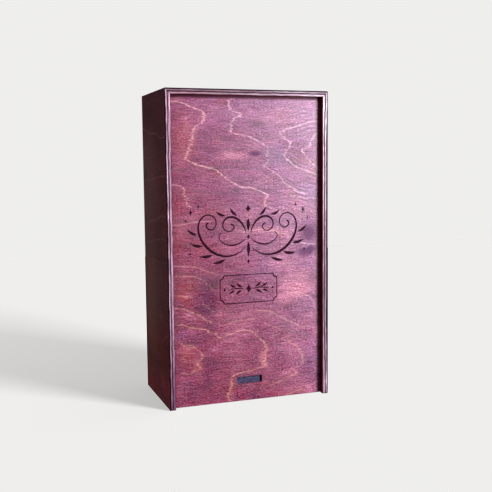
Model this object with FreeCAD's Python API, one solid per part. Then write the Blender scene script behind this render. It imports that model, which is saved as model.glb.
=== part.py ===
import FreeCAD, Part
import math
import os

V = FreeCAD.Vector

# ---------------------------------------------------------------- driving dimensions (mm)
WIDTH = 190.0            # outside, left to right (X)
DEPTH = 112.0            # outside, front to back (Y); the lid faces -Y
HEIGHT = 350.0           # outside, foot to top (Z); the foot stands on Z = 0
BOARD_T = 6.5            # five-ply boards of the sides and ends
EDGE_R = 1.0             # sanded outer edges
MOUTH_BEVEL = 0.4        # eased inner edge of the front lip

LIP_DEPTH = 6.5          # front edge of the boards to the lid groove
GROOVE_W = 4.6           # lid groove, measured front to back
GROOVE_D = 3.0           # lid groove, depth into the board

LID_T = 4.0              # three-ply lid
LID_SIDE_GAP = 0.4       # lid edge to groove bottom, each side
LID_TOP_GAP = 0.5        # lid top edge to groove bottom
LID_FOOT_GAP = 0.3       # lid foot above the ground line
LID_EASE = 0.4           # eased lid edges

BACK_T = 4.0             # three-ply back panel
REBATE_W = 3.5           # width of the rebate the back panel drops into
BACK_GAP = 0.15          # glue line around the back panel

PULL_W = 30.0            # finger recess near the foot of the lid
PULL_H = 8.0
PULL_D = 2.5
PULL_Z = 24.4            # height of its middle

ENGRAVE_D = 0.5          # depth of the engraved ornament
ORNAMENT_Z = 191.0       # middle height of the scroll ornament
ORNAMENT_SCALE = 1.14
PLAQUE_Z = 129.3         # middle height of the framed field under it
PLAQUE_W = 69.0
PLAQUE_H = 33.0
PLAQUE_NOTCH = 4.5       # radius of its hollow corners
PLAQUE_LINE = 1.1

PIN_R = 0.6              # brads
PIN_HEAD_R = 0.95
PIN_HEAD_T = 0.6
PIN_POINT = 1.6
PIN_FIT = 0.02           # radial clearance in the wood
CORNER_PIN_L = 20.0
BACK_PIN_L = 16.0
CORNER_PIN_Y = (-34.0, 6.0, 44.0)
BACK_PIN_Z = (30.0, 125.0, 220.0, 315.0)
BACK_PIN_X = (-48.0, 0.0, 48.0)

# ---------------------------------------------------------------- planes worked out from them
XO = WIDTH / 2                       # outer face of a side
XI = XO - BOARD_T                    # inner face of a side
YF = -DEPTH / 2                      # front edges
YB = DEPTH / 2                       # rear edges
ZT = HEIGHT
ZI = HEIGHT - BOARD_T                # inner face of the top board
Y_GROOVE0 = YF + LIP_DEPTH
Y_GROOVE1 = Y_GROOVE0 + GROOVE_W
Y_BACK0 = YB - BACK_T                # front face of the back panel
X_REBATE = XI + REBATE_W
Z_REBATE = ZI + REBATE_W
Y_LID0 = Y_GROOVE0 + (GROOVE_W - LID_T) / 2
Y_LID1 = Y_LID0 + LID_T
X_LID = XI + GROOVE_D - LID_SIDE_GAP
Z_LID0 = LID_FOOT_GAP
Z_LID1 = ZI + GROOVE_D - LID_TOP_GAP


def block(x0, x1, y0, y1, z0, z1):
    return Part.makeBox(x1 - x0, y1 - y0, z1 - z0, V(x0, y0, z0))


def prism_y(points, y0, y1):
    """A polygon in the X-Z plane, carried from y0 to y1."""
    loop = [V(x, y0, z) for x, z in points]
    face = Part.Face(Part.makePolygon(loop + [loop[0]]))
    return face.extrude(V(0, y1 - y0, 0))


# The outside of the glued-up box, with every outer edge sanded round.
outside = block(-XO, XO, YF, YB, 0, ZT)
outside = outside.makeFillet(EDGE_R, outside.Edges)

# The front mouth, opening by a small bevel towards the front edge of the lip.
big, small = XI + 1.5 * MOUTH_BEVEL, XI


def mouth_ring(y, half_w, top):
    pts = [V(-half_w, y, -20.0), V(half_w, y, -20.0), V(half_w, y, top), V(-half_w, y, top)]
    return Part.makePolygon(pts + [pts[0]])


mouth = Part.makeLoft(
    [mouth_ring(YF - 0.5 * MOUTH_BEVEL, big, ZI + 1.5 * MOUTH_BEVEL), mouth_ring(YF + MOUTH_BEVEL, small, ZI)],
    True, True,
)

# The lid groove and the rebate for the back, as one ring of material to take out of three boards.
groove = block(-XI - GROOVE_D, XI + GROOVE_D, Y_GROOVE0, Y_GROOVE1, -10, ZI + GROOVE_D)
rebate = block(-X_REBATE, X_REBATE, Y_BACK0, YB + 10, -10, Z_REBATE)


# ---------------------------------------------------------------- brads
def pin(at, along, length, grow=0.0):
    """A brad with a small flat head at `at`, driven along `along`."""
    shank = Part.makeCylinder(PIN_R + grow, length - PIN_POINT, at, along)
    tip = Part.makeCone(PIN_R + grow, 0.12 + grow, PIN_POINT, at + along * (length - PIN_POINT), along)
    head = Part.makeCylinder(PIN_HEAD_R + grow, PIN_HEAD_T, at, along)
    whole = shank.fuse([tip, head]).removeSplitter()
    return whole


x_pin = XI + BOARD_T / 2
top_at = [V(s * x_pin, y, ZT) for s in (-1, 1) for y in CORNER_PIN_Y]
foot_at = [(V(s * XO, y, BOARD_T / 2), V(-s, 0, 0)) for s in (-1, 1) for y in CORNER_PIN_Y]
back_at = [V(s * (XI + REBATE_W / 2), YB, z) for s in (-1, 1) for z in BACK_PIN_Z]
back_at += [V(x, YB, ZI + REBATE_W / 2) for x in BACK_PIN_X]
back_at += [V(x, YB, BOARD_T / 2) for x in BACK_PIN_X]

DOWN, FORWARD = V(0, 0, -1), V(0, -1, 0)
top_corner_pins = [pin(p, DOWN, CORNER_PIN_L) for p in top_at]
bottom_corner_pins = [pin(p, d, CORNER_PIN_L) for p, d in foot_at]
back_panel_pins = [pin(p, FORWARD, BACK_PIN_L) for p in back_at]
top_holes = [pin(p, DOWN, CORNER_PIN_L + 0.1, PIN_FIT) for p in top_at]
foot_holes = [pin(p, d, CORNER_PIN_L + 0.1, PIN_FIT) for p, d in foot_at]
back_holes = [pin(p, FORWARD, BACK_PIN_L + 0.1, PIN_FIT) for p in back_at]


def drilled(board, holes):
    box = board.BoundBox
    near = [h for h in holes if box.intersect(h.BoundBox)]
    return board.cut(near) if near else board


# ---------------------------------------------------------------- boards of the carcass
left = prism_y([(-XO, 0), (-XI, 0), (-XI, ZI), (-XO, ZT)], YF, YB)
left = left.cut([groove, rebate, mouth]).common(outside)
left_side = drilled(left, top_holes + foot_holes + back_holes)

right = prism_y([(XI, 0), (XO, 0), (XO, ZT), (XI, ZI)], YF, YB)
right = right.cut([groove, rebate, mouth]).common(outside)
right_side = drilled(right, top_holes + foot_holes + back_holes)

top = prism_y([(-XO, ZT), (-XI, ZI), (XI, ZI), (XO, ZT)], YF, YB)
top = top.cut([groove, rebate, mouth]).common(outside)
top_end = drilled(top, top_holes + back_holes)

# The foot board starts behind the groove, so the lid passes in front of it, and stops at the back panel.
bottom_end = drilled(block(-XI, XI, Y_GROOVE1, Y_BACK0, 0, BOARD_T), foot_holes + back_holes)

# The back panel lies flush in the rebate and runs over the rear edge of the foot board.
panel = block(-X_REBATE + BACK_GAP, X_REBATE - BACK_GAP, Y_BACK0, YB, 0, Z_REBATE - BACK_GAP)
back_panel = drilled(panel.common(outside), back_holes)


# ---------------------------------------------------------------- engraved ornament on the lid
def tool(outline_edges):
    face = Part.Face(Part.Wire(outline_edges))
    return face.extrude(V(0, ENGRAVE_D + 1.0, 0))


Y_TOOL = Y_LID0 - 1.0


def at(x, z, origin_z, scale=1.0):
    return V(x * scale, Y_TOOL, origin_z + z * scale)


def spline(points):
    curve = Part.BSplineCurve()
    curve.interpolate(points)
    return curve


def stroke(points, widths, stations=15):
    """A pen stroke along a smooth line with round ends; the widths are spread evenly along it."""
    line = spline(points)
    a, b = line.FirstParameter, line.LastParameter
    swell = Part.BSplineCurve()
    steps = [i / (len(widths) - 1) for i in range(len(widths))]
    swell.interpolate(Points=[V(t, 0, w) for t, w in zip(steps, widths)], Parameters=steps)
    near, far, ends = [], [], []
    for i in range(stations):
        t = i / (stations - 1)
        half = max(0.12, swell.value(t).z / 2)
        p = line.value(a + (b - a) * t)
        d = line.tangent(a + (b - a) * t)[0]
        n = V(-d.z, 0, d.x).normalize()
        near.append(p + n * half)
        far.append(p - n * half)
        if i in (0, stations - 1):
            ends.append(p + d.normalize() * (half if i else -half))
    edges = [
        spline(near).toShape(),
        Part.Arc(near[-1], ends[1], far[-1]).toShape(),
        spline(far[::-1]).toShape(),
        Part.Arc(far[0], ends[0], near[0]).toShape(),
    ]
    return tool(edges)


def drop(root, tip, belly, bend=0.0):
    """A leaf-like drop from root to tip, `belly` wide, bowed sideways by `bend`."""
    d = tip - root
    n = V(-d.z, 0, d.x).normalize()
    mid = root + d * 0.5 + n * bend
    widths = [max(0.3, belly * math.sin(math.pi * (i / 8) ** 0.85)) for i in range(9)]
    return stroke([root, root + d * 0.25 + n * bend * 0.75, mid, root + d * 0.78 + n * bend * 0.62, tip], widths, 13)


def lozenge(centre, half_w, half_h):
    ring = [V(centre.x + x, centre.y, centre.z + z) for x, z in ((0, half_h), (half_w, 0), (0, -half_h), (-half_w, 0))]
    return Part.Face(Part.makePolygon(ring + [ring[0]])).extrude(V(0, ENGRAVE_D + 1.0, 0))


def star(centre, r, waist=0.17):
    """A four-point star with hollow sides, taller than wide."""
    quarter = [(0.0, 1.0), (0.055, 0.5), (waist, waist * 1.25), (0.36, 0.07)]
    ring = []
    for sx, sz, turn in ((1, 1, False), (1, -1, True), (-1, -1, False), (-1, 1, True)):
        pts = quarter + [(0.72, 0.0)]
        if turn:
            pts = pts[::-1]
        ring += [V(centre.x + sx * x * r, centre.y, centre.z + sz * z * r) for x, z in pts[:-1]]
    return Part.Face(Part.makePolygon(ring + [ring[0]])).extrude(V(0, ENGRAVE_D + 1.0, 0))


cuts = []
S, Z = ORNAMENT_SCALE, ORNAMENT_Z
for s in (-1, 1):
    def P(x, z, s=s):
        return at(s * x, z, Z, S)

    # the long lower scroll, sweeping out and curling up
    long_scroll = [(3.4, -13.0), (10.5, -18.4), (20, -21.0), (31, -19.4), (41, -13.2), (48.4, -3.6), (51.2, 7.0),
                   (48.4, 16.0), (41.0, 19.8), (34.4, 16.4), (33.4, 9.4), (38.2, 5.4), (42.8, 8.2), (41.4, 12.0)]
    cuts.append(stroke([P(*p) for p in long_scroll], [0.7, 1.7, 2.9, 2.8, 2.1, 1.5, 1.3, 1.9], 35))
    # the short upper scroll, curling down
    short_scroll = [(2.6, 1.6), (6.4, 10.4), (13.4, 16.2), (21.2, 16.6), (26.0, 11.4), (24.4, 5.0), (18.4, 3.2),
                    (14.8, 6.8), (17.6, 10.0)]
    cuts.append(stroke([P(*p) for p in short_scroll], [0.7, 1.9, 2.5, 2.0, 1.4, 1.2, 1.7], 27))
    # a tendril between the two
    tendril = [(3.4, -5.0), (9.6, -9.0), (17.4, -10.6), (25.6, -8.2), (30.4, -2.2), (28.0, 1.4)]
    cuts.append(stroke([P(*p) for p in tendril], [0.6, 1.5, 1.8, 1.4, 0.9, 1.2], 19))
    # leaves on the outside of the long scroll, each turned a little further up than the last
    cuts.append(drop(P(24.0, -24.0), P(37.4, -27.6), 3.0 * S, -s * 1.0))
    cuts.append(drop(P(37.2, -19.0), P(50.4, -20.0), 3.2 * S, -s * 1.3))
    cuts.append(drop(P(46.8, -10.0), P(59.4, -7.2), 3.0 * S, -s * 1.3))
    cuts.append(drop(P(52.6, 0.6), P(62.4, 7.0), 2.6 * S, -s * 1.1))
    # leaves on the short scroll
    cuts.append(drop(P(11.6, 18.4), P(18.8, 26.4), 2.7 * S, -s * 1.2))
    cuts.append(drop(P(23.6, 18.6), P(33.2, 23.2), 2.6 * S, -s * 1.2))
    # stars around them
    cuts.append(star(P(58.4, 22.6), 4.8))
    cuts.append(star(P(50.6, 28.0), 3.4))
    cuts.append(star(P(63.4, 14.6), 3.0))
    cuts.append(star(P(59.6, -17.2), 3.6))

# the middle of the ornament, top to bottom
cuts.append(star(at(0, 25.0, Z, S), 6.6, 0.2))
cuts.append(drop(at(0, 15.4, Z, S), at(0, 2.6, Z, S), 3.6 * S))
cuts.append(lozenge(at(0, -2.6, Z, S), 1.9, 2.6))
cuts.append(drop(at(0, -7.6, Z, S), at(0, -22.4, Z, S), 3.4 * S))
cuts.append(lozenge(at(0, -27.0, Z, S), 1.7, 2.4))


# the framed field: one line with hollow corners
def field(half_w, half_h, notch):
    z0 = PLAQUE_Z
    c = 0.70710678 * notch

    def q(x, z):
        return V(x, Y_TOOL, z0 + z)

    def seg(p, r):
        return Part.LineSegment(p, r).toShape()

    edges = []
    corners = [(1, 1), (1, -1), (-1, -1), (-1, 1)]
    for i, (a, b) in enumerate(corners):
        on_x, on_z = q(a * (half_w - notch), b * half_h), q(a * half_w, b * (half_h - notch))
        mid = q(a * (half_w - c), b * (half_h - c))
        first, last = (on_x, on_z) if a == b else (on_z, on_x)
        edges.append(Part.Arc(first, mid, last).toShape())
        a2, b2 = corners[(i + 1) % 4]
        nx, nz = q(a2 * (half_w - notch), b2 * half_h), q(a2 * half_w, b2 * (half_h - notch))
        edges.append(seg(last, nx if a2 == b2 else nz))
    return edges


w, h = PLAQUE_W / 2, PLAQUE_H / 2
outer = tool(field(w, h, PLAQUE_NOTCH))
inner = tool(field(w - PLAQUE_LINE, h - PLAQUE_LINE, PLAQUE_NOTCH))
cuts.append(outer.cut(inner))

# a sprig across the field: a star, and a stem with leaves to each side
cuts.append(lozenge(at(0, 0, PLAQUE_Z), 3.0, 4.8))
for s in (-1, 1):
    def Q(x, z, s=s):
        return at(s * x, z, PLAQUE_Z)

    cuts.append(stroke([Q(5.4, -0.4), Q(11, 0.7), Q(17, 0.6), Q(24.4, -0.8)], [0.8, 1.4, 1.3, 0.6], 13))
    cuts.append(drop(Q(7.6, 2.0), Q(14.6, 7.2), 2.6, -s * 0.9))
    cuts.append(drop(Q(8.4, -2.0), Q(15.6, -6.4), 2.6, s * 0.9))
    cuts.append(drop(Q(15.4, 2.4), Q(22.6, 6.2), 2.4, -s * 0.8))
    cuts.append(drop(Q(16.2, -1.8), Q(23.4, -5.4), 2.4, s * 0.8))
    cuts.append(lozenge(Q(28.6, -0.2), 1.5, 2.1))

# ---------------------------------------------------------------- the sliding lid
lid = block(-X_LID, X_LID, Y_LID0, Y_LID1, Z_LID0, Z_LID1)
lid = lid.makeChamfer(LID_EASE, lid.Edges)
lid = lid.cut(block(-PULL_W / 2, PULL_W / 2, Y_LID0 - 1, Y_LID0 + PULL_D, PULL_Z - PULL_H / 2, PULL_Z + PULL_H / 2))
sliding_lid = lid.cut(cuts)

# ---------------------------------------------------------------- one file per piece
pieces = {
    "left_side": left_side,
    "right_side": right_side,
    "top_end": top_end,
    "bottom_end": bottom_end,
    "back_panel": back_panel,
    "sliding_lid": sliding_lid,
    "top_corner_pins": Part.makeCompound(top_corner_pins),
    "bottom_corner_pins": Part.makeCompound(bottom_corner_pins),
    "back_panel_pins": Part.makeCompound(back_panel_pins),
}

os.makedirs("parts", exist_ok=True)
for name, shape in pieces.items():
    if len(shape.Solids) == 1:
        shape = shape.Solids[0]
    print(name, len(shape.Solids), "solids", round(shape.Volume, 1), "mm3", shape.isValid())
    shape.exportStep("parts/" + name + ".step")
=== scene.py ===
import math

import bpy
from mathutils import Matrix, Vector

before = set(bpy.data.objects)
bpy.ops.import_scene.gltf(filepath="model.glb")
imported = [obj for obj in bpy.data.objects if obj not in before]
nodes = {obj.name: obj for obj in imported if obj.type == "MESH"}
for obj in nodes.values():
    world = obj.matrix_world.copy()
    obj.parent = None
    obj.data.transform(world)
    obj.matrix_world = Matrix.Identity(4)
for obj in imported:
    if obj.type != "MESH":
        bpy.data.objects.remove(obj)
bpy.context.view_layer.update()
scene = bpy.context.scene

# Planes of the boards, in millimetres of the row frame.
BOARD_T, THIN_T = 6.5, 4.0
OUT_X, FRONT_Y, BACK_Y, TOP_Z = 95.0, -56.0, 56.0, 350.0
LID_FRONT_Y = -49.2


# ---------------------------------------------------------------- node building

class Val:
    """One node output that takes part in plain arithmetic."""

    def __init__(self, net, out):
        self.net, self.out = net, out

    @property
    def is_vector(self):
        return self.out.type in ("VECTOR", "RGBA")

    def op(self, name, a, b):
        if self.is_vector:
            return self.net.vec(name, a, b)
        return self.net.num(name, a, b)

    def __add__(self, o): return self.op("ADD", self, o)
    def __radd__(self, o): return self.op("ADD", o, self)
    def __sub__(self, o): return self.op("SUBTRACT", self, o)
    def __rsub__(self, o): return self.op("SUBTRACT", o, self)
    def __mul__(self, o): return self.op("MULTIPLY", self, o)
    def __rmul__(self, o): return self.op("MULTIPLY", o, self)
    def __truediv__(self, o): return self.op("DIVIDE", self, o)
    def __neg__(self): return self.op("MULTIPLY", self, -1.0)


class Net:
    """The node tree of one material, or of a node group that materials share."""

    def __init__(self, name, group=False):
        if group:
            self.tree = bpy.data.node_groups.new(name, "ShaderNodeTree")
            return
        self.mat = bpy.data.materials.new(name)
        self.mat.use_nodes = True
        self.tree = self.mat.node_tree
        self.tree.nodes.clear()

    def node(self, kind, inputs=None, **props):
        n = self.tree.nodes.new(kind)
        for k, v in props.items():
            setattr(n, k, v)
        for k, v in (inputs or {}).items():
            self.put(n.inputs[k], v)
        return n

    def put(self, socket, v):
        if isinstance(v, Val):
            self.tree.links.new(v.out, socket)
        elif socket.type == "VECTOR" and not hasattr(v, "__len__"):
            socket.default_value = (v, v, v)
        elif socket.type == "RGBA" and len(v) == 3:
            socket.default_value = (*v, 1.0)
        else:
            socket.default_value = v

    def num(self, op, a, b=0.0, c=0.0, clamp=False):
        n = self.node("ShaderNodeMath", {0: a, 1: b, 2: c}, operation=op, use_clamp=clamp)
        return Val(self, n.outputs[0])

    def vec(self, op, a, b=0.0, c=0.0):
        n = self.node("ShaderNodeVectorMath", operation=op)
        self.put(n.inputs[0], a)
        if op == "SCALE":
            self.put(n.inputs["Scale"], b)
        else:
            self.put(n.inputs[1], b)
            if op == "MULTIPLY_ADD":
                self.put(n.inputs[2], c)
        return Val(self, n.outputs["Value" if op in ("DOT_PRODUCT", "LENGTH") else "Vector"])

    def xyz(self, x=0.0, y=0.0, z=0.0):
        return Val(self, self.node("ShaderNodeCombineXYZ", {0: x, 1: y, 2: z}).outputs[0])

    def split(self, v):
        n = self.node("ShaderNodeSeparateXYZ", {0: v})
        return [Val(self, o) for o in n.outputs]

    def ramp(self, x, lo, hi, a=0.0, b=1.0, smooth=True):
        """x from lo to hi becomes a to b, held beyond them."""
        n = self.node("ShaderNodeMapRange", {0: x, 1: lo, 2: hi, 3: a, 4: b}, clamp=not smooth,
                      interpolation_type="SMOOTHSTEP" if smooth else "LINEAR")
        return Val(self, n.outputs[0])

    def noise(self, v, detail=2.0, rough=0.5, distort=0.0, colour=False):
        n = self.node("ShaderNodeTexNoise", {"Vector": v, "Scale": 1.0, "Detail": detail,
                      "Roughness": rough, "Distortion": distort})
        return Val(self, n.outputs[1 if colour else 0])

    def mix(self, f, a, b, blend="MIX"):
        n = self.node("ShaderNodeMix", data_type="RGBA", blend_type=blend, clamp_factor=True)
        self.put(n.inputs[0], f)
        self.put(n.inputs[6], a)
        self.put(n.inputs[7], b)
        return Val(self, n.outputs[2])

    def clamp(self, x):
        return self.num("MINIMUM", self.num("MAXIMUM", x, 0.0), 1.0)

    def curves(self, v, lines):
        """Three lines at once: each component of v goes through its own line of points."""
        n = self.node("ShaderNodeVectorCurve", {1: v})
        m = n.mapping
        m.use_clip = False
        m.extend = "HORIZONTAL"
        for curve, pts in zip(m.curves, lines):
            pts = sorted(pts)
            curve.points[0].location = pts[0]
            curve.points[1].location = pts[-1]
            for p in pts[1:-1]:
                curve.points.new(*p)
            for p in curve.points:
                p.handle_type = "AUTO_CLAMPED"
        m.update()
        return Val(self, n.outputs[0])

    def coords(self):
        """Place in millimetres and the direction the surface faces, both fixed to the piece."""
        tc = self.node("ShaderNodeTexCoord")
        mm = self.vec("SCALE", Val(self, tc.outputs["Object"]), 1000.0)
        return self.split(mm), self.split(Val(self, tc.outputs["Normal"]))

    def finish(self, colour, rough, height=None, depth=0.0001, spec=0.5, metal=0.0, coat=0.0, gloss=0.3):
        """The surface, with a coat of lacquer of that roughness over it."""
        b = self.node("ShaderNodeBsdfPrincipled")
        self.put(b.inputs["Base Color"], colour)
        self.put(b.inputs["Roughness"], rough)
        b.inputs["IOR"].default_value = 1.5
        b.inputs["Specular IOR Level"].default_value = spec
        self.put(b.inputs["Metallic"], metal)
        self.put(b.inputs["Coat Weight"], coat)
        b.inputs["Coat Roughness"].default_value = gloss
        b.inputs["Coat IOR"].default_value = 1.5
        if height is not None:
            bump = self.node("ShaderNodeBump", {"Strength": 1.0, "Distance": depth, "Height": height})
            self.tree.links.new(bump.outputs[0], b.inputs["Normal"])
            self.tree.links.new(bump.outputs[0], b.inputs["Coat Normal"])
        out = self.node("ShaderNodeOutputMaterial")
        self.tree.links.new(b.outputs[0], out.inputs[0])
        return self.mat


# ---------------------------------------------------------------- stain and veneer

# Stain colours (linear): magenta body, redder and more violet patches, the pale ring lines
# that take little stain, and the dark pores and end grain that take a lot of it. LILAC and FROST, towards the lid's
# upper right, also stand in for painted sheen.
MAGENTA = (0.236, 0.037, 0.090)
RED = (0.258, 0.035, 0.062)
VIOLET = (0.100, 0.012, 0.056)
DEEP = (0.070, 0.009, 0.028)
PINK = (0.470, 0.165, 0.260)
LILAC = (0.272, 0.086, 0.215)
PEACH = (0.760, 0.370, 0.390)
AMBER = (0.700, 0.330, 0.270)
LIGHT_PLY = (0.720, 0.500, 0.650)
DARK_PLY = (0.022, 0.008, 0.026)
CHAR = (0.030, 0.006, 0.016)
BLUISH = (0.205, 0.076, 0.208)
FROST = (0.285, 0.120, 0.275)
# painted sheen, added to the stain by the lighter fibres and taken from it by the darker ones
SHEEN = (0.035, 0.100, 0.105)


def fibres(net, a, b, seed):
    """Long fibres, streaks and pores of a rotary-cut birch face: a runs along the grain, b across it."""
    fine = net.noise(net.xyz(a / 16.0, b / 0.9, seed), 3, 0.6)
    streak = net.noise(net.xyz(a / 34.0, b / 2.6, seed + 3.1), 3, 0.6)
    wide = net.noise(net.xyz(a / 80.0, b / 9.0, seed + 7.7), 2, 0.5)
    pore = net.noise(net.xyz(a / 4.2, b / 0.55, seed + 11.3), 1, 0.5)
    return fine, streak, wide, net.ramp(pore, 0.60, 0.74)


def grained(net, colour, dash, fine, k):
    """Flecks and hairs along the fibres, lighter and darker than the stain by about as much in each colour, with
    painted sheen added to the light ones and taken from the dark ones.
    """
    fleck = (net.ramp(dash, 0.25, 0.75, -0.62, 0.62, smooth=False) + (fine - 0.5) * 1.7) * k
    fleck = fleck + fleck * fleck * 0.15
    return net.vec("MAXIMUM", net.vec("SCALE", colour, 1.0 + fleck) + net.vec("SCALE", SHEEN, fleck), (0.030, 0.005, 0.014))


def rings(net, a, b, seed, size=(150.0, 46.0), count=6.0):
    """Pale ring lines of a rotary-cut face: level lines of a slow swell, ragged where they cross the fibres.
    Some rings are strong and some weak. Gives the line, the shade that grows up to it and the fainter rings between."""
    rag = net.noise(net.xyz(a / 24.0, b / 2.0, seed + 5.0), 3, 0.65) - 0.5
    roll = net.noise(net.xyz(a / 9.0, b / 7.0, seed + 6.0), 3, 0.6) - 0.5
    swell = net.noise(net.xyz((a + rag * 14.0) / size[0], (b + roll * 2.4) / size[1], seed), 1.5, 0.45)
    level = swell * count
    f = net.num("FRACT", level)
    wear = net.ramp(net.noise(net.xyz(a / 5.0, b / 2.4, seed + 8.0), 2, 0.6), 0.30, 0.70, 0.075, 0.025)
    bright_scale = net.ramp(net.noise(net.xyz(a / 22.0, b / 9.0, seed + 10.0), 3, 0.6), 0.36, 0.60, 0.10, 1.0)
    ring = net.noise(net.xyz(net.num("FLOOR", level) * 3.7, 0.0, seed + 11.0), 0, 0.5)
    line = net.ramp(f, 0.0, wear, 1.0, 0.0) * bright_scale * net.ramp(ring, 0.35, 0.62, 0.25, 1.0)
    shade = net.ramp(f, 0.0, 0.85, 0.0, 1.0, smooth=False)
    echo = net.num("COSINE", level * (2 * math.pi * 5.0)) * 0.5 + 0.5
    echo = (echo * echo - 0.375) * net.ramp(net.noise(net.xyz(a / 28.0, b / 12.0, seed + 12.0), 2, 0.5), 0.40, 0.62)
    return line, shade, echo


def line_group():
    """Works out three ring lines at once, from how far along and how far off each of them a point is."""
    net = Net("ring_lines", group=True)
    vectors = ("Along", "Off", "Start", "End", "Tip", "Long Tip", "Width", "Reach", "Strength", "Shade", "Echo")
    for name in vectors:
        net.tree.interface.new_socket(name, in_out="INPUT", socket_type="NodeSocketVector")
    net.tree.interface.new_socket("Wear", in_out="INPUT", socket_type="NodeSocketFloat")
    for name in ("Line", "Halo", "Shade", "Echo"):
        net.tree.interface.new_socket(name, in_out="OUTPUT", socket_type="NodeSocketFloat")
    given, out = net.node("NodeGroupInput"), net.node("NodeGroupOutput")
    along, s, lo, hi, tip, long_tip, width, reach, strength, dark, again = [Val(net, given.outputs[k]) for k in range(11)]
    wear = Val(net, given.outputs[11])

    def hold(v):
        return net.vec("MINIMUM", net.vec("MAXIMUM", v, 0.0), 1.0)

    before, after = along - lo, hi - along
    m = hold(net.vec("MINIMUM", before / tip, after / tip) + 0.5)
    d = net.vec("ABSOLUTE", s)
    near = d / width
    core = net.vec("MAXIMUM", 1.0 - net.vec("SCALE", near, wear), 0.0) * m
    net.put(out.inputs[0], net.vec("DOT_PRODUCT", core, strength))
    halo = net.vec("MAXIMUM", 1.0 - net.vec("SCALE", near, 0.2), 0.0)
    net.put(out.inputs[1], net.vec("DOT_PRODUCT", halo * halo * m, strength))
    wide = hold(net.vec("MINIMUM", before / long_tip, after / long_tip) + 0.5)
    t = s / reach
    shade = hold(1.0 - t) * hold(t * 3.0 + 0.5) * wide
    net.put(out.inputs[2], net.vec("DOT_PRODUCT", shade, dark))
    echo = net.vec("COSINE", net.vec("SCALE", s, 2 * math.pi / 4.8)) * 0.5 + 0.5
    close = net.vec("MAXIMUM", 1.0 - net.vec("SCALE", d, 1 / 26.0), 0.0) * wide
    net.put(out.inputs[3], net.vec("DOT_PRODUCT", (echo * echo - 0.375) * close, again))
    return net.tree


RING_LINES = line_group()


def lines(net, along, across, rows, wear=1.0):
    """Single ring lines placed by points (along, across), three to a curve node.
    Each row is (points, half width, strength, shade beyond the line, reach of the shade, strength of its echo).
    A line is thinner where wear is over 1. Gives the line, its soft edge, the shade and the fainter rings beside it."""
    total = [0.0, 0.0, 0.0, 0.0]
    v1, v2 = net.xyz(along, along, along), net.xyz(across, across, across)
    for k in range(0, len(rows), 3):
        three = list(rows[k:k + 3])
        while len(three) < 3:
            three.append((three[-1][0], 1.0, 0.0, 0.0, 8.0, 0.0))
        pts = [sorted(r[0]) for r in three]
        span = [p[-1][0] - p[0][0] for p in pts]
        off = v2 - net.curves(v1, pts)
        n = net.node("ShaderNodeGroup", node_tree=RING_LINES)
        for name, v in (("Along", v1), ("Off", off), ("Wear", wear),
                        ("Start", [p[0][0] for p in pts]), ("End", [p[-1][0] for p in pts]),
                        ("Tip", [min(2.5, w / 2.5) for w in span]), ("Long Tip", [min(14.0, w / 2.5) for w in span]),
                        ("Width", [r[1] for r in three]), ("Strength", [r[2] for r in three]), ("Shade", [r[3] for r in three]),
                        ("Reach", [r[4] for r in three]), ("Echo", [r[2] * r[5] for r in three])):
            net.put(n.inputs[name], v)
        total = [Val(net, o) + t for o, t in zip(n.outputs, total)]
    return total


def patches(net, u, v, rows):
    """Soft patches (centre u, v, half sizes) added up with their strengths."""
    total = 0.0
    p = net.xyz(u, v, 0.0)
    for cu, cv, ru, rv, k in rows:
        q = net.vec("MULTIPLY_ADD", p, (1 / ru, 1 / rv, 0.0), (-cu / ru, -cv / rv, 0.0))
        total = net.ramp(net.vec("LENGTH", q), 1.0, 0.0, 0.0, k) + total
    return total


THREE_PLY = (0.30, 0.70)
FIVE_PLY = (0.190, 0.385, 0.585, 0.895)
OTHER_PLIES = {"back_panel": THREE_PLY, "right_side": (0.195, 0.390, 0.595, 0.970), "top_end": (0.230, 0.460, 0.650, 0.945)}


def plies(net, t, bounds, a, b, along_a, seed):
    """How pale a cut edge is. t goes 0 to 1 through the board, whose glue lines lie at bounds. Plies cut across
    their fibres drink the stain and go dark, those cut along them stay pale. along_a is 1 where the edge runs
    along the fibres of the outside plies and 0 where it cuts across them."""
    wave = net.noise(net.xyz(a / 26.0, b / 26.0, seed), 2, 0.5) - 0.5
    rag = net.noise(net.xyz(a / 8.0, b / 8.0, seed + 2.0), 2, 0.6) - 0.5
    u = t + wave * 0.18 + rag * 0.14
    odd = 0.0
    for k, at in enumerate(bounds):
        step = net.ramp(u, at - 0.022, at + 0.022)
        odd = odd + step if k % 2 == 0 else odd - step
    return net.num("ABSOLUTE", odd - along_a)


BOARD_FIGURE = {
    # board: (grain, across, through, seed)
    "left_side": ("y", "z", lambda x, y, z: (x + OUT_X) / BOARD_T, 1.0),
    "right_side": ("y", "z", lambda x, y, z: (OUT_X - x) / BOARD_T, 23.0),
    "top_end": ("y", "x", lambda x, y, z: (TOP_Z - z) / BOARD_T, 41.0),
    "bottom_end": ("x", "y", lambda x, y, z: z / BOARD_T, 57.0),
    "back_panel": ("x", "z", lambda x, y, z: (BACK_Y - y) / THIN_T, 71.0),
}

# How bright the cut edges of a board are painted: painted light, brighter towards the top and the right where the light
# and the sheen fall on them, dimmer low down and along the top board's outermost plies.
EDGE_PAINTED_LIGHT = {
    "left_side": lambda net, x, z: net.ramp(z, 0.0, 130.0, 0.60, 0.98) + net.ramp(z, 280.0, 335.0, 0.0, 0.32),
    "right_side": lambda net, x, z: net.ramp(z, 130.0, 270.0, 0.76, 1.45),
    "top_end": lambda net, x, z: net.ramp(x, -20.0, 60.0, 0.72, 1.05) * net.ramp(z, 347.6, 346.2, 0.60, 1.0),
    "bottom_end": lambda net, x, z: net.ramp(x, -60.0, 60.0, 0.50, 0.62),
}
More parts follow.
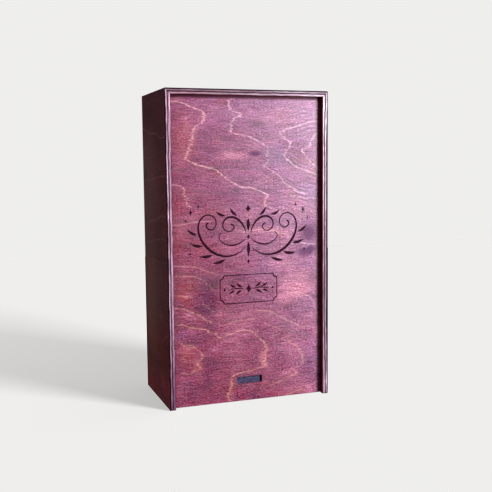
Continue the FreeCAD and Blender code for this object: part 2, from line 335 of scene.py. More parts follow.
# Two tints of their pale plies, and how the one goes over into the other; the whiter tint towards the top and the right
# is partly painted sheen.
EDGE_TINT_AND_SHEEN = {
    "left_side": lambda net, x, z: net.mix(net.ramp(z, 15.0, 110.0), (0.58, 0.25, 0.44), (0.72, 0.46, 0.62)),
    "right_side": lambda net, x, z: net.mix(net.ramp(z, 150.0, 270.0), (0.72, 0.46, 0.62), (0.72, 0.61, 0.70)),
    "top_end": lambda net, x, z: net.mix(net.ramp(x, -75.0, 60.0), (0.68, 0.37, 0.46), (0.72, 0.58, 0.72)),
}

# Streaks along the front edges that are brighter or duller than the rest, partly the plies' own streaks and partly
# painted highlights: (mm from the outside, height, half sizes, strength).
EDGE_STREAKS_AND_HIGHLIGHTS = {
    "left_side": [(1.7, 260, 1.1, 18, 1.0), (1.7, 210, 1.1, 16, 1.0), (1.4, 341, 1.3, 14, 0.7), (1.6, 306, 1.7, 22, -0.5),
                  (1.6, 160, 1.4, 14, -0.5), (1.7, 90, 1.0, 14, 0.5), (4.2, 158, 1.0, 18, 0.6), (5.4, 228, 1.5, 26, -0.45),
                  (4.2, 198, 0.9, 16, -0.5), (5.6, 80, 1.4, 24, -0.5), (5.2, 260, 1.0, 16, -0.35), (1.2, 8, 0.9, 16, 1.0),
                  (5.0, 8, 1.6, 16, -0.5)],
    "right_side": [(1.9, 12, 1.1, 20, 1.0), (4.3, 12, 1.4, 20, 0.6), (5.6, 122, 1.1, 40, -0.5)],
}

# The ring lines seen on the left side: (depth from the front edge, height) points.
LEFT_LINES = [
    ([(-54, 299), (-44, 298), (-34, 298), (-20, 301.5), (-8, 304), (14, 304), (30, 307), (54, 312)], 0.9, 0.52, 0.10, 9, 1.0),
    ([(-54, 257), (-30, 256), (-5, 254), (20, 252), (54, 251)], 0.8, 0.46, 0.12, 8, 1.0),
    ([(-54, 213.5), (-38, 213.5), (-15, 209), (0, 206), (25, 204), (40, 201), (54, 196)], 0.9, 0.52, 0.10, 9, 1.0),
    ([(-54, 188), (-25, 186.5), (0, 184), (25, 180), (54, 177)], 0.8, 0.34, 0.08, 8, 1.0),
    ([(-54, 163), (-20, 161), (20, 160), (54, 157)], 0.7, 0.22, 0.06, 8, 1.0),
    ([(-54, 81), (-42, 80), (-32, 75), (-20, 68)], 0.9, 0.34, 0.06, 8, 1.0),
    ([(-54, 102), (-20, 99), (20, 97), (54, 94)], 0.7, 0.16, 0.05, 8, 1.0),
    ([(-54, 131), (-10, 128), (30, 124), (54, 119)], 0.7, 0.14, 0.05, 8, 1.0),
    ([(-54, 283), (-20, 281), (20, 278), (54, 276)], 0.7, 0.14, 0.05, 8, 1.0),
]
# Where the left side is painted lighter with painted reflected and bounce light, bluer, and hazier with a painted grey
# sheen: (depth, height, half sizes, strength).
LEFT_PAINTED_LIGHT = [(24, 242, 68, 82, 0.46), (24, 90, 36, 130, 0.28), (-40, 285, 50, 40, 0.22)]
LEFT_BLUE = [(0, 130, 110, 75, 0.50)]
LEFT_PAINTED_SHEEN = [(24, 240, 70, 90, 0.20), (30, 130, 50, 100, 0.13), (-60, 220, 40, 150, 0.07)]


def board(name):
    net = Net(name + "_ply")
    (x, y, z), (nx, ny, nz) = net.coords()
    pos, nor = {"x": x, "y": y, "z": z}, {"x": nx, "y": ny, "z": nz}
    ga, gb, through, seed = BOARD_FIGURE[name]
    gt = ({"x", "y", "z"} - {ga, gb}).pop()
    a, b, t = pos[ga], pos[gb], through(x, y, z)
    bounds = OTHER_PLIES.get(name, FIVE_PLY)

    # face veneer, another sheet on each side of the board
    side = net.ramp(t, 0.45, 0.55)
    bs = b + side * 431.0
    fine, streak, wide, pore = fibres(net, a, bs, seed)
    dash = net.noise(net.xyz(a / 2.3, bs / 0.8, seed + 15.0), 2, 0.6)
    line, shade, echo = rings(net, a, bs, seed + 0.5)
    blot = net.noise(net.xyz(a / 60.0, bs / 34.0, seed + 9.0), 4, 0.6)
    hue = net.noise(net.xyz(a / 95.0, bs / 60.0, seed + 13.0), 3, 0.6)
    face = net.mix(net.ramp(hue, 0.38, 0.64), RED, VIOLET)
    face = net.mix(0.62, face, MAGENTA)
    face = net.mix(net.ramp(blot, 0.42, 0.70) * 0.5, face, VIOLET)
    face = net.mix(net.ramp(blot, 0.47, 0.28) * 0.40, face, PINK)
    tone = (0.32 if name == "left_side" else 0.15) + streak * 0.90 + wide * 0.75 - shade * 0.16 + echo * 0.16
    face = net.vec("SCALE", face, net.num("MAXIMUM", tone, 0.30))
    if name == "left_side":
        # painted light: paler up the back and much brighter at the foot, where reflected and bounce light fall, a
        # bluish band between them
        face = net.mix(patches(net, y, z, LEFT_BLUE), face, (0.140, 0.035, 0.170))
        face = net.vec("SCALE", face, patches(net, y, z, LEFT_PAINTED_LIGHT) + net.ramp(z, 48.0, 0.0, 1.0, 1.9))
        # painted sheen: a grey reflection mixed in up the back
        face = net.mix(patches(net, y, z, LEFT_PAINTED_SHEEN), face, (0.410, 0.340, 0.410))
    face = grained(net, face, dash, fine, 0.8)
    face = net.mix(line * (0.08 if name == "left_side" else 0.55), face, PEACH)
    if name == "left_side":
        rag = net.noise(net.xyz(a / 24.0, bs / 1.5, 4.0), 2, 0.6) - 0.5
        core, halo, dark, again = lines(net, a + rag * 5.0, b, LEFT_LINES)
        outer = net.ramp(t, 0.5, 0.4)
        face = net.vec("SCALE", face, 1.0 + (again * 0.12 - dark) * outer)
        face = net.mix((core + halo * 0.25) * outer, face, PEACH)
    face = net.mix(pore * 0.35, face, DEEP)
    # painted shade: the inner walls of the front lips, in the corner behind them, are painted dark
    lip_wall_painted_shade = net.ramp(y, -42.0, -47.0) * net.ramp(t, 0.8, 0.9)
    face = net.mix(lip_wall_painted_shade * 0.85, face, net.vec("SCALE", (0.150, 0.009, 0.021), 0.5 + streak))

    # cut edges
    na, nb = net.num("ABSOLUTE", nor[ga]), net.num("ABSOLUTE", nor[gb])
    along = net.ramp(nb - na, -0.2, 0.2)
    # the right board's edge was not planed quite square, so its plies wander inwards halfway up
    drift = net.ramp(z, 15.0, 90.0, 0.0, 0.19) * net.ramp(z, 346.0, 295.0) if name == "right_side" else 0.0
    pale = plies(net, t - drift, bounds, a, b, along, seed + 17.0)
    grain = net.noise(net.xyz(a / 2.2, b / 12.0, t * 9.0), 3, 0.6)
    slow = net.noise(net.xyz(a / 60.0, b / 60.0, t * 3.0 + seed), 2, 0.5)
    # painted light: the pale plies are painted brighter where the light and the sheen fall, and streaked with painted
    # highlights
    bright_scale = EDGE_PAINTED_LIGHT[name](net, x, z) if name in EDGE_PAINTED_LIGHT else 1.0
    bare = EDGE_TINT_AND_SHEEN[name](net, x, z) if name in EDGE_TINT_AND_SHEEN else LIGHT_PLY
    if name in EDGE_STREAKS_AND_HIGHLIGHTS:
        bright_scale = bright_scale * (1.0 + patches(net, t * BOARD_T, z, EDGE_STREAKS_AND_HIGHLIGHTS[name]))
    bare = net.mix(net.ramp(slow, 0.35, 0.65, 0.0, 0.8), bare, (0.36, 0.16, 0.25))
    bare = net.mix(net.ramp(grain, 0.54, 0.72, 0.0, 0.6), bare, (0.80, 0.68, 0.77))
    light = net.vec("SCALE", bare, net.num("MAXIMUM", grain * 2.2 - 0.54 + slow * 0.45, 0.12) * bright_scale)
    dusk = net.vec("SCALE", net.mix(net.ramp(slow, 0.35, 0.65), DARK_PLY, (0.045, 0.012, 0.032)), 0.20 + grain * 0.8)
    edge = net.mix(pale, dusk, light)

    # which of the two shows: a face is flat to the board and lies at its outside
    nt = net.num("ABSOLUTE", nor[gt])
    outer = net.ramp(net.num("ABSOLUTE", t - 0.5), 0.44, 0.47)
    is_face = net.ramp(nt, 0.72, 0.92) * outer
    colour = net.mix(is_face, edge, face)
    # the rounded arrises drink the most stain
    square = net.num("MAXIMUM", nt, net.num("MAXIMUM", na, nb))
    arris = net.ramp(square, 0.985, 0.90)
    # all but some of the inner ones, which are left pale as a painted highlight where the light catches them
    if name == "right_side":
        arris = arris * (1.0 - net.ramp(t, 0.70, 0.85) * net.ramp(z, 60.0, 110.0))
    if name == "top_end":
        arris = arris * (1.0 - net.ramp(t, 0.70, 0.85) * net.ramp(x, -50.0, 40.0, 0.2, 0.9))
    colour = net.mix(arris * 0.92, colour, (0.022, 0.009, 0.024))
    # and so does the open line of the mitres
    if name in ("left_side", "right_side", "top_end"):
        mitre = net.num("ABSOLUTE", net.num("ABSOLUTE", x) - OUT_X + TOP_Z - z)
        colour = net.mix(net.ramp(mitre, 0.75, 0.15, 0.0, 0.85), colour, (0.022, 0.009, 0.024))

    # cut edges drink the lacquer, their dark plies most of all, so it lies thinner there
    rough = 0.50 + streak * 0.16 + pore * 0.10
    height = is_face * (fine * 0.6 + streak * 0.5 - pore * 0.5 + line * 0.3) + (1.0 - is_face) * (grain * 0.9 + pale * 0.8)
    thin = 0.06 + pale * 0.29
    coat = thin + is_face * ((0.06 if name == "top_end" else 0.50) - thin)
    if name == "left_side":
        polish = net.ramp(y, -45.0, 40.0) * net.ramp(z, 10.0, 80.0) * net.ramp(z, 330.0, 285.0, 0.0, 0.48)
        coat = thin + is_face * (net.ramp(z, 60.0, 170.0, 0.24, 0.52) + polish - thin)
    coat = coat * (1.0 - arris)
    return net.finish(colour, rough, height, 0.00012, spec=0.0 if name == "top_end" else 0.05, coat=coat)


# ---------------------------------------------------------------- the lid's face

# Ring lines of the lid, as (x, z) points where the line runs along the fibres.
LID_ALONG = [
    ([(-90, 336), (-85, 336.3), (-80, 336.3), (-76, 335.3), (-70, 333), (-66, 331.2), (-60, 329.4), (-56, 327.6), (-52.5, 325.8), (-50, 323)], 0.9, 0.90, 0.0, 8, 0.3),
    ([(-71.5, 277), (-70, 275), (-68, 273.3), (-65, 271), (-60, 269), (-55, 267.7), (-50, 266.3), (-45, 265), (-40, 263.4), (-37, 262), (-33, 259), (-28, 255.3),
      (-22, 251.3), (-18, 248.4), (-12, 245), (-6, 243.2), (0, 243), (6, 241.8), (10, 240.2), (16, 237.4), (20, 235.8), (23.5, 234)], 0.85, 0.85, 0.12, 10, 0.8),
    ([(19.5, 222.6), (22, 221.6), (25, 220.4), (30, 218.4), (36, 215.6), (42, 212.5)], 0.8, 0.55, 0.06, 8, 1.0),
    ([(-19.5, 305), (-17, 303.4), (-14, 302.4), (-8, 301.2), (0, 299.4), (4, 298.2), (10, 295.4), (16, 292.4), (20, 290.4), (23.5, 287.5)], 0.75, 0.62, 0.06, 9, 1.3),
    ([(-20.5, 329.6), (-16, 326.6), (-12, 325), (-8, 323.6), (-6, 322.6)], 0.85, 0.75, 0.0, 8, 0.2),
    ([(-15, 318.4), (-12, 320.4), (-9, 321.8), (-6, 322.6)], 0.85, 0.80, 0.0, 8, 0.2),
    ([(19.5, 268), (22, 265), (26, 262.4), (30, 260), (35, 256.8), (40, 252), (44, 247.4), (48, 244), (52, 242), (58, 238.6), (63, 236.4), (72, 234)], 0.8, 0.72, 0.08, 9, 1.6),
    ([(39, 304.3), (43, 306), (47, 308), (52, 309), (58, 310.2), (64, 312.2), (70, 314.2), (76, 316), (82, 316.6), (90, 317.5)], 0.8, 0.72, 0.05, 9, 1.4),
    ([(43, 296.8), (47, 295.2), (50, 294), (52.5, 291.5)], 0.75, 0.62, 0.0, 8, 0.4),
    ([(46.5, 274), (50, 272), (55, 268.2), (60, 265), (64, 263), (67, 261.6), (70, 260.8), (76, 259), (82, 257), (90, 254.5)], 0.8, 0.72, 0.08, 9, 1.8),
    ([(65.5, 282.6), (67, 284), (69, 285.2), (73, 287.6), (77, 291.5)], 0.8, 0.85, 0.0, 8, 0.5),
    ([(65.5, 282.4), (67, 281.2), (69, 279.4), (71, 276.6), (75, 272), (79, 268), (83, 265), (90, 260.5)], 0.8, 0.88, 0.05, 8, 1.6),
    ([(81, 301), (84, 303.5), (90, 306)], 0.8, 0.70, 0.0, 8, 0.5),
    ([(-90, 247.5), (-85, 247), (-80, 246.3), (-76, 244.8), (-73.5, 242.5)], 0.85, 0.66, 0.05, 8, 0.5),
    ([(-90, 203.5), (-84, 203.4), (-78, 203.9), (-72, 204.6), (-64, 206), (-56, 206.8), (-44, 206.4)], 0.7, 0.42, 0.06, 9, 0.7),
    ([(63, 178.4), (70, 177.6), (80, 176.4), (90, 175.6)], 1.2, 0.50, -0.02, 8, 0.0),
    ([(-90, 159), (-75, 158.2), (-62, 156.6), (-53, 153), (-46, 150.6), (-38, 147)], 0.75, 0.42, 0.06, 9, 0.8),
    ([(-90, 147.6), (-78, 147.2), (-66, 146.8), (-60, 144.6), (-54, 141.6), (-50, 138.4), (-46, 134.5), (-42, 130)], 0.75, 0.42, 0.06, 8, 0.8),
    ([(-90, 125.8), (-82, 126), (-75, 124.8), (-66, 123.4)], 0.8, 0.45, 0.04, 8, 0.8),
    ([(-90, 112.2), (-85, 112.4), (-80, 111.5), (-76, 110.4), (-72, 108.6), (-68, 107.4), (-65, 105.8), (-62, 104), (-58, 102.8), (-55, 99.8), (-50, 96.6), (-44, 93.5)], 0.85, 0.66, 0.08, 9, 1.0),
    ([(-56, 115.4), (-51, 113), (-47, 109.4), (-43, 105.8), (-38, 101)], 0.7, 0.40, 0.05, 8, 0.8),
    ([(-84, 93.3), (-78, 93.5), (-74, 91.6), (-70, 90), (-66, 89.5), (-62, 88.5), (-56, 87), (-52, 86), (-49, 84), (-46, 82.6), (-42, 81.4), (-40, 79), (-38, 77), (-35, 76),
      (-31, 75.6), (-28, 77), (-25.5, 79), (-20, 79.2), (-14, 81.4), (-8, 82), (0, 81), (4, 79.4), (8, 75.6), (11, 72), (15, 68.4), (18.5, 65)], 0.85, 0.70, 0.06, 9, 0.8),
    ([(-90, 81), (-86, 78.6), (-83, 76.4), (-81, 73), (-79, 71.2), (-75, 69.4), (-70, 70), (-66, 69), (-63, 67), (-61, 64.4), (-58, 61), (-54.5, 57.6)], 0.85, 0.62, 0.0, 8, 0.5),
    ([(-76, 65.4), (-72, 67), (-67, 67.2), (-63.5, 66)], 0.8, 0.45, 0.0, 8, 0.0),
    ([(-82, 39.4), (-76, 38.6), (-73, 37.2), (-71, 37.4), (-66, 39.4), (-63.5, 42)], 0.85, 0.62, 0.0, 8, 0.4),
    ([(-31, 89.5), (-24, 91), (-18, 92.2), (-10, 93.2), (0, 94.6), (8, 93)], 0.7, 0.36, 0.05, 9, 1.0),
    ([(10, 103.2), (16, 102.8), (24, 101.2), (30, 98.8), (34, 96.4), (38, 94.4), (44, 91), (48, 89), (52, 87), (56, 85), (60, 82.6), (64, 79.8)], 0.75, 0.58, 0.06, 9, 1.0),
    ([(17, 89.6), (21, 86.6), (25, 84.6), (30, 82.4), (34, 80.6), (40, 77.4), (44, 74)], 0.75, 0.40, 0.05, 8, 0.8),
    ([(40.5, 70.4), (43, 67.6), (46, 66), (50, 63.4), (55, 60), (58, 58), (62.5, 54)], 0.85, 0.60, 0.0, 8, 0.4),
    ([(27, 14.4), (32, 16.6), (36, 18.2), (40, 20), (44, 21.5), (48, 22.6), (52, 23.6), (55, 24.6), (58.5, 26.5)], 0.9, 0.62, 0.0, 8, 0.4),
    ([(55.5, 30.2), (58, 32.6), (62, 34.6), (66, 36.4)], 0.85, 0.55, 0.0, 8, 0.2),
    ([(-20.5, 30.4), (-18, 31.2), (-14, 32.6), (-8, 33.2), (-2, 34), (6, 35), (10, 36), (14, 37), (18, 38.2)], 0.9, 0.76, 0.05, 8, 0.3),
    ([(46, 122.4), (52, 121.6), (58, 121), (64, 120), (67, 118.8), (70, 117.4), (73.5, 115.6)], 0.85, 0.55, 0.05, 8, 0.6),
    ([(28, 158.6), (30, 161.2), (34, 162.6), (40, 163)], 0.7, 0.35, 0.0, 8, 0.4),
    ([(-6, 193.5), (0, 194.4), (8, 195), (14, 195.6), (20, 195.2), (26, 194), (32, 192.4), (36, 191.4)], 0.85, 0.60, 0.05, 8, 0.5),
    ([(34, 190), (38, 189.6), (42, 190), (46, 188.4)], 0.8, 0.45, 0.0, 8, 0.3),
    ([(44, 1), (50, 2.4), (54, 3.8), (58, 5.2), (62, 5.6), (66, 4.8), (69.5, 2.6)], 0.9, 0.70, 0.0, 8, 0.3),
    ([(76, 9.6), (80, 11.4), (84, 13), (90, 15)], 0.8, 0.45, 0.0, 8, 0.3),
    ([(50, 233), (57, 232.4), (62, 231), (70, 229.6), (78, 229.4), (90, 227)], 0.7, 0.38, 0.04, 8, 1.0),
]
# The same lines where they cross the fibres, as (z, x) points.
LID_ACROSS = [
    ([(325, -50.3), (323, -49.6), (319, -50), (316, -51), (313, -54), (310, -58.4), (307, -61), (304, -63), (300, -61.6), (297, -62.6), (294, -65), (290, -66), (285, -66.2),
      (281, -69), (278, -70.6), (275.5, -70.8)], 1.3, 0.85, 0.0, 8, 0.2),
    ([(235.5, 22.5), (233, 23.4), (231, 22.6), (228, 20.2), (224, 19.6), (221.5, 21)], 1.2, 0.58, 0.0, 8, 0.3),
    ([(343.4, -13.5), (340.5, -17.5), (338, -21), (335, -21.6), (331, -21), (328.6, -19.6)], 1.1, 0.72, 0.0, 8, 0.2),
    ([(319.4, -14), (316, -16.6), (313, -18.6), (309, -19), (306, -19.6), (303.8, -18.4)], 1.2, 0.78, 0.0, 8, 0.2),
    ([(288.6, 23), (285, 23.8), (280, 24), (276, 23)], 1.1, 0.45, 0.0, 8, 0.5),
    ([(272.5, 23.6), (270.5, 24), (269, 21), (266.5, 20.2)], 1.1, 0.60, 0.0, 8, 0.3),
    ([(305.4, 41), (304, 39.4), (302, 40.8), (299, 43), (296, 43.8)], 1.1, 0.62, 0.0, 8, 0.5),
    ([(293.6, 51.8), (290, 51.6), (287, 50), (284, 47), (281, 44.6), (278, 43.8), (275, 45.4), (273, 47.6)], 1.1, 0.66, 0.0, 8, 0.8),
    ([(302.5, 82.6), (298, 78.6), (294, 77), (290, 75.6)], 1.1, 0.85, 0.0, 8, 0.6),
    ([(284.4, 67.4), (282.6, 65.6), (280.8, 67)], 1.1, 0.85, 0.0, 8, 0.5),
    ([(244, -74), (242, -73.4), (238, -73.8), (234, -72), (229, -71), (225, -69), (222, -65)], 1.1, 0.62, 0.0, 8, 0.3),
    ([(67, 16.6), (65, 18.6), (61, 19.6), (57, 20.6), (52, 20), (48, 19.2), (44, 17.6), (40.5, 17.4), (37.5, 17.8)], 1.5, 0.85, 0.0, 8, 0.2),
    ([(59, -55.6), (57.6, -54.4), (55, -56), (52, -58.4), (49, -61), (46, -59), (44, -58.6), (42, -61), (40, -64.4)], 1.4, 0.75, 0.0, 8, 0.2),
    ([(55, 61.8), (50, 63.2), (46, 65), (42, 66.6), (38, 66.4), (36, 65)], 1.3, 0.60, 0.0, 8, 0.3),
    ([(32, 56), (30, 56.4), (28, 57.6), (26, 58)], 1.2, 0.60, 0.0, 8, 0.2),
    ([(31.5, -19), (28, -21.6), (25, -21.6), (22, -21), (18, -22.6), (14, -23.6), (10, -26), (6, -26.6), (3, -24), (0.5, -22.4)], 1.4, 0.76, 0.0, 8, 0.2),
    ([(117.5, 71.6), (113, 76.6), (110, 79), (106, 80.6), (102, 81.2), (95, 83), (90, 84.6)], 1.1, 0.50, 0.0, 8, 0.6),
    ([(190, 45), (187, 48), (183, 48.4)], 1.4, 0.40, 0.0, 8, 0.2),
]
# Darker bands of late wood between them, as (x, z) points.
LID_DUSK = [
    ([(-46, 262), (-36, 264.6), (-26, 266), (-14, 265), (-4, 263.6), (6, 264.4), (14, 262.4), (22, 258.6), (30, 255.4), (36, 250.8)], 2.0, 0.9, 0.0, 8, 0.0),
    ([(-34, 273.5), (-20, 272), (-8, 271), (2, 271)], 1.6, 0.6, 0.0, 8, 0.0),
    ([(-42, 286), (-30, 285), (-20, 286.4), (-8, 288), (4, 288.4)], 1.6, 0.6, 0.0, 8, 0.0),
    ([(18, 300), (30, 298.4), (38, 297), (46, 294.4)], 1.5, 0.6, 0.0, 8, 0.0),
    ([(49, 275.2), (54, 272.6), (58, 270), (63, 267)], 1.2, 0.8, 0.0, 8, 0.0),
    ([(38, 258), (44, 252.6), (50, 248), (57, 244.6)], 1.4, 0.7, 0.0, 8, 0.0),
    ([(24, 242), (32, 238), (39, 235.6)], 1.5, 0.6, 0.0, 8, 0.0),
    ([(55, 305.6), (66, 307), (78, 308.4)], 1.2, 0.5, 0.0, 8, 0.0),
    ([(58, 220.4), (70, 220), (80, 217.6), (90, 213)], 1.3, 0.6, 0.0, 8, 0.0),
    ([(46, 214.8), (58, 214.2), (70, 213.6), (84, 209.6)], 1.3, 0.6, 0.0, 8, 0.0),
    ([(50, 206.5), (64, 205.4), (76, 204.8), (90, 202)], 1.2, 0.5, 0.0, 8, 0.0),
    ([(-48, 253.5), (-40, 250.6), (-30, 247), (-20, 242), (-6, 236)], 1.7, 0.6, 0.0, 8, 0.0),
]
# Soft patches on the lid: (x, z, half width, half height, strength).
LID_VIOLET = [(-46, 120, 19, 23, 1.5), (-46, 138, 16, 12, 0.2), (-48, 103, 16, 14, 0.6), (-46, 90, 11, 10, 0.5), (-50, 30, 13, 24, 0.7), (-49, 55, 11, 16, 0.75),
              (12, 84, 12, 12, 0.5), (20, 160, 14, 14, 0.5), (-12, 141, 24, 10, 0.65), (-28, 157, 20, 8, 0.5), (42, 135, 10, 14, 0.4), (45, 104, 12, 10, 0.5),
              (78, 35, 11, 24, 0.5), (76, 15, 12, 12, 0.4), (65, 66, 14, 12, 0.4), (-30, 300, 32, 14, 0.45), (-45, 287, 22, 12, 0.4), (-70, 255, 26, 10, 0.35),
              (30, 255, 16, 10, 0.3), (8, 5, 16, 10, 0.45), (-34, 9, 14, 11, 0.5), (15, 228, 12, 12, 0.35), (-25, 228, 18, 10, 0.3),
              (58, 284, 38, 24, 0.60), (-60, 110, 13, 11, 0.7), (-62, 122, 14, 14, 0.5), (-30, 232, 24, 14, 0.25)]
LID_RED = [(-76, 132, 17, 26, 1.0), (-66, 116, 14, 12, 0.5), (-84, 185, 20, 34, 0.7), (-62, 180, 26, 14, 0.7), (-44, 215, 22, 8, 0.5), (-36, 176, 16, 12, 0.4),
           (-72, 55, 18, 18, 0.7), (-84, 20, 12, 20, 0.3), (-74, 298, 22, 42, 0.9), (-84, 225, 16, 24, 0.5), (-28, 12, 20, 18, 0.5), (-26, 335, 12, 8, 0.6), (50, 3, 40, 8, 0.6),
           (30, 12, 32, 12, 0.3), (-40, 258, 16, 8, 0.5), (20, 228, 10, 10, 0.4), (-10, 285, 52, 40, 0.25)]
LID_PINK = [(-84, 18, 16, 22, 0.28), (50, 120, 24, 18, 0.95), (54, 66, 34, 44, 0.30), (54, 16, 34, 20, 0.35), (60, 135, 34, 20, 1.0), (68, 122, 20, 10, 0.8), (-16, 279, 26, 7.0, 1.0), (20, 194, 38, 8, 0.8), (46, 188, 9, 8, 0.7), (16, 47, 7, 11, 0.8),
            (-68, 305, 12, 26, 0.35), (-15, 82, 34, 20, 0.4), (40, 155, 30, 14, 0.5), (82, 72, 12, 12, 0.6), (74, 4, 16, 8, 0.7), (-18, 62, 28, 18, 0.3),
            (50, 30, 14, 8, 0.4), (40, 320, 54, 16, 0.35), (60, 215, 34, 16, 0.4), (-8, 100, 32, 22, 0.22), (-66, 84, 14, 8, 0.2)]
LID_BLUE = [(36, 280, 24, 28, 0.6), (62, 298, 24, 16, 0.35), (24, 156, 20, 17, 0.5), (4, 142, 24, 10, 0.4), (-70, 84, 26, 10, 0.1), (-82, 81, 12, 9, 0.4)]
# Warm glow where the ring lines run with the surface and take little stain.
LID_WARM = [(-22, 14, 6, 18, 0.5), (-61, 44, 8, 13, 0.5), (16, 48, 7, 14, 0.5), (-74, 60, 17, 17, 0.35), (-70, 126, 20, 24, 0.08)]
# Frosty lilac patches; the large one at the upper right corner is painted sheen.
LID_FROST_AND_SHEEN = [(74, 322, 36, 28, 0.65), (80, 280, 22, 34, 0.12), (76, 238, 26, 15, 0.8), (80, 45, 22, 52, 0.30)]
# The knot and the dark blot at the right edge, where the lacquer is thin.
LID_BLOT = [(73, 190, 20, 19, 1.2), (68, 168, 15, 9, 0.9), (79, 171, 11, 10, 1.1), (10, 280.5, 12, 5.4, 1.15)]


def lid_face():
    net = Net("lid_veneer")
    (x, y, z), (nx, ny, nz) = net.coords()
    depth = y - LID_FRONT_Y

    # the fibres run along x, and swing a little with the rings
    flow = net.noise(net.xyz(x / 46.0, z / 34.0, 89.0), 2, 0.5) - 0.5
    zf = z + flow * 16.0
    fine, streak, wide, pore = fibres(net, x, zf, 90.0)
    dash = net.noise(net.xyz(x / 2.3, zf / 0.8, 103.0), 2, 0.6)
    # ring lines are drawn out along the fibres, so they go ragged where they cross them
    rag = net.noise(net.xyz(x / 24.0, z / 2.0, 95.0), 3, 0.65) - 0.5
    roll = net.noise(net.xyz(x / 9.0, z / 7.0, 96.0), 3, 0.6) - 0.5
    xw = x + rag * 14.0
    zw = z + roll * 2.4
    wear = net.ramp(net.noise(net.xyz(x / 5.0, z / 2.4, 93.0), 2, 0.6), 0.30, 0.70, 0.52, 1.65)
    c1, h1, s1, e1 = lines(net, xw, zw, LID_ALONG, wear)
    c2, h2, s2, e2 = lines(net, zw, xw, LID_ACROSS, wear)
    dusk = lines(net, xw, zw, LID_DUSK)[0]
    weak = net.ramp(net.noise(net.xyz(x / 9.0, z / 5.0, 97.0), 3, 0.6), 0.34, 0.58, 0.45, 1.0)
    hair = net.ramp(net.noise(net.xyz(x / 9.0, z / 1.3, 94.0), 2, 0.6), 0.47, 0.62)
    core, halo, dark = (c1 + c2) * weak, h1 * (0.06 + hair * 0.34) + h2 * hair * 0.6, s1 + s2
    echo = (e1 + e2) * net.ramp(net.noise(net.xyz(x / 28.0, z / 12.0, 92.0), 2, 0.5), 0.36, 0.62)

    # patches of stain
    dx = net.noise(net.xyz(x / 24.0, z / 15.0, 98.0), 3, 0.6) - 0.5
    dz = net.noise(net.xyz(x / 24.0, z / 15.0, 198.0), 3, 0.6) - 0.5
    px, pz = x + dx * 30.0, z + dz * 22.0
    violet, red, pink = patches(net, px, pz, LID_VIOLET), patches(net, px, pz, LID_RED), patches(net, px, pz, LID_PINK)
    dusky = net.clamp(patches(net, x + dx * 8.0, z + dz * 5.0, LID_BLOT))
    cloud = net.noise(net.xyz(x / 30.0, z / 22.0, 99.0), 3, 0.55)
    # paler and more lilac towards the upper right, partly the stain and partly painted sheen
    pale = net.ramp(x * 0.75 + z * 0.35, -5.0, 130.0) * 0.85 + (cloud - 0.5) * 0.8

    face = net.mix(net.clamp(pale), MAGENTA, LILAC)
    face = net.mix(red, face, RED)
    face = net.mix(net.ramp(cloud, 0.50, 0.74) * 0.6, face, VIOLET)
    face = net.mix(net.ramp(cloud, 0.48, 0.25) * 0.5, face, PINK)
    face = net.mix(violet * 0.9, face, (0.120, 0.012, 0.060))
    face = net.mix(patches(net, px, pz, LID_BLUE), face, BLUISH)
    face = net.mix(patches(net, px, pz, LID_FROST_AND_SHEEN), face, FROST)
    face = net.mix(pink * (0.45 + streak * 0.9), face, PINK)
    face = net.mix(patches(net, x + dx * 10.0, z + dz * 8.0, LID_WARM) * (0.3 + streak * 0.8), face, (0.480, 0.130, 0.120))
    tone = (streak - 0.5) * 1.0 + (wide - 0.5) * 0.7 - dark - dusk * 0.42 + echo * 1.0
    face = net.vec("SCALE", face, net.num("MAXIMUM", tone + 1.0, 0.30))
    # flecks stronger to the right, where their painted sheen is strongest
    face = grained(net, face, dash, fine, net.ramp(x, -40.0, 50.0, 1.05, 1.3))
    face = net.mix(dusky * 0.88, face, net.vec("SCALE", (0.080, 0.011, 0.084), 0.5 + dash))
    ring = net.mix(net.ramp(z, 60.0, 260.0), AMBER, PEACH)
    # ring lines paler with it, partly painted sheen
    ring = net.mix(net.ramp(pale, 0.35, 0.9), ring, (0.720, 0.440, 0.560))
    face = net.mix(net.clamp(core * net.ramp(z, 60.0, 240.0, 0.82, 1.1) + halo), face, ring)
    face = net.mix(pore * 0.20, face, DEEP)
    # painted shade along the lips, most of all under the top one, and a darker, redder strip beside the right lip,
    # where their shadows fall
    lip_painted_shade = net.clamp(net.ramp(x, -76.0, -88.0, 0.0, 0.30) + net.ramp(z, 338.3, 342.2, 0.0, 0.95))
    face = net.mix(net.ramp(x, 80.0, 85.0) * net.ramp(z, 70.0, 130.0, 0.0, 0.6), face, net.vec("SCALE", (0.170, 0.020, 0.080), 0.5 + streak))
    face = net.mix(lip_painted_shade, face, net.vec("SCALE", (0.075, 0.008, 0.024), 0.5 + streak))

    # engraved lines are charred; the finger recess shows the dark centre ply, painted a bluish grey that is partly a
    # painted reflection
    inside = net.ramp(net.num("ABSOLUTE", x), 89.0, 88.0) * net.ramp(z, 3.0, 5.0) * net.ramp(z, 342.0, 340.0)
    cut = net.ramp(depth, 0.03, 0.14) * net.ramp(depth, 3.4, 3.0) * inside
    pocket = net.ramp(depth, 0.70, 1.1)
    soot = net.noise(net.xyz(x / 1.4, z / 0.7, depth), 2, 0.6)
    char = net.vec("SCALE", CHAR, 0.5 + soot)
    speck = net.noise(net.xyz(x / 5.0, z / 1.6, 105.0), 3, 0.65)
    recess_ply_and_reflection = net.mix(net.ramp(speck, 0.35, 0.7), (0.030, 0.030, 0.070), (0.105, 0.095, 0.160))
    charred = net.mix(pocket, char, recess_ply_and_reflection)

